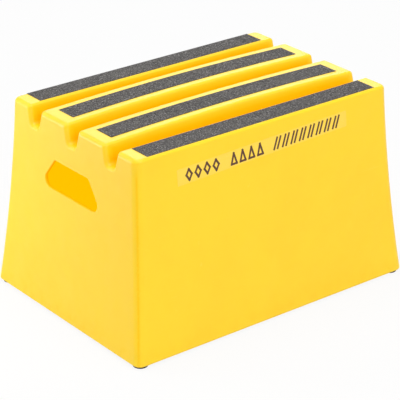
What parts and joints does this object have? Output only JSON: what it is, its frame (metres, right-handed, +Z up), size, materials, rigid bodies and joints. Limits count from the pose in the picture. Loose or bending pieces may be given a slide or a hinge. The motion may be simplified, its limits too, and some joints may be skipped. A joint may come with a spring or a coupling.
{
  "type": "mounting block",
  "caption": "Hollow moulded step for mounting a horse, flared to its base, with anti-slip strips on its slatted top, hand holes in its ends and rubber feet.",
  "frame": {"origin": "on the ground, under the middle of the step", "axes": "+X along the step, towards one hand hole; +Y to the back, so that the label is on the -Y wall; +Z up"},
  "size_m": [0.5082, 0.3632, 0.3102],
  "materials": {
    "moulded_body": "satin polyethylene, coloured through",
    "grit_tape": "tape coated with coarse mineral grit",
    "label_film": "clear self-adhesive film with dark print",
    "foot_rubber": "matte moulded rubber",
    "plated_steel": "zinc plated",
    "insert_brass": "machined"
  },
  "bodies": {
    "root": {"body_shell": "moulded_body", "load_label": "label_film", "tread_strip_1": "grit_tape", "tread_strip_2": "grit_tape", "tread_strip_3": "grit_tape", "tread_strip_4": "grit_tape", "foot_1": "foot_rubber", "foot_washer_1": "plated_steel", "foot_screw_1": "plated_steel", "foot_insert_1": "insert_brass", "foot_2": "foot_rubber", "foot_washer_2": "plated_steel", "foot_screw_2": "plated_steel", "foot_insert_2": "insert_brass", "foot_3": "foot_rubber", "foot_washer_3": "plated_steel", "foot_screw_3": "plated_steel", "foot_insert_3": "insert_brass", "foot_4": "foot_rubber", "foot_washer_4": "plated_steel", "foot_screw_4": "plated_steel", "foot_insert_4": "insert_brass"}
  },
  "joints": []
}
